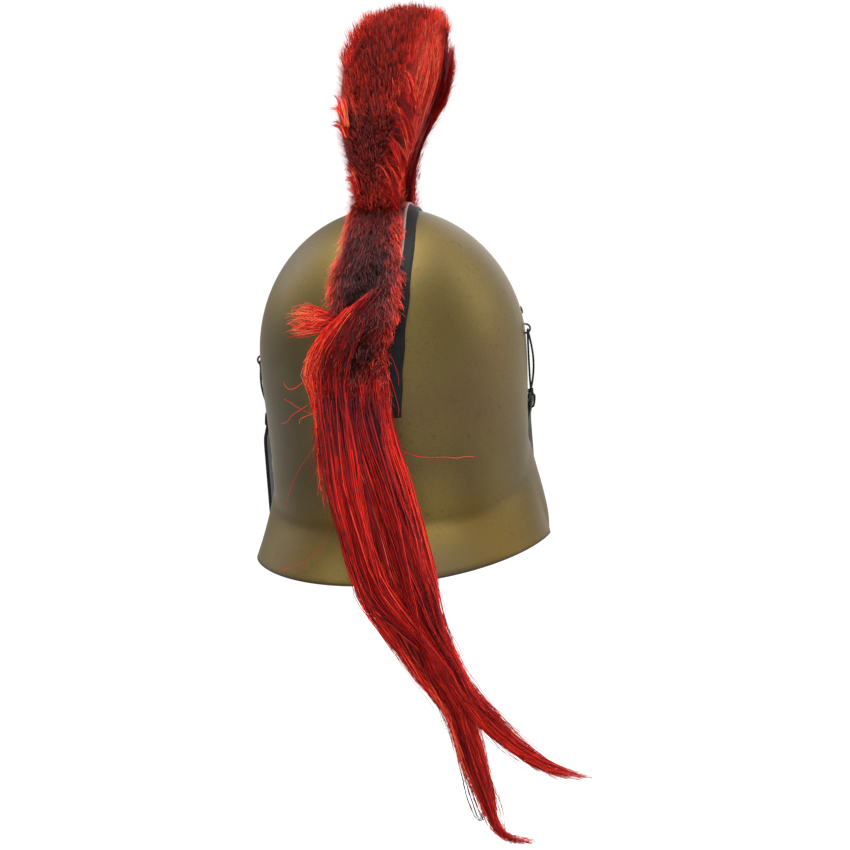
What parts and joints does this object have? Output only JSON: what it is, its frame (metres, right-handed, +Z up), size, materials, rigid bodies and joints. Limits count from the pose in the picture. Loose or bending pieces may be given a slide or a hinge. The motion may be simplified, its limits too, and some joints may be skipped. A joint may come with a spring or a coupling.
{
  "type": "centurion helmet",
  "caption": "Open-faced bronze helmet with a flared neck guard, an upright red fur crest on a leather band, a long trailing hair tail and a chin strap tied to side eyes.",
  "frame": {"origin": "the top of the hollow on the inside of the crown, where the wearer's head bears", "axes": "+Y towards the face opening, +X to the wearer's right, +Z up"},
  "size_m": [0.2752, 0.336, 0.6821],
  "materials": {
    "antique_bronze": "satin, patinated",
    "black_leather": "semi-gloss",
    "red_hair": "hair",
    "black_cord": "waxed cord",
    "dark_iron": "blackened"
  },
  "bodies": {
    "root": {"helmet_shell": "antique_bronze", "crest_band": "black_leather", "crest_fur": "red_hair", "tail_plume": "red_hair", "chin_strap": "black_leather", "tie_cord_left": "black_cord", "tie_cord_right": "black_cord", "side_eye_left": "dark_iron", "side_eye_right": "dark_iron", "side_rivet_left": "dark_iron", "side_rivet_right": "dark_iron"}
  },
  "joints": []
}
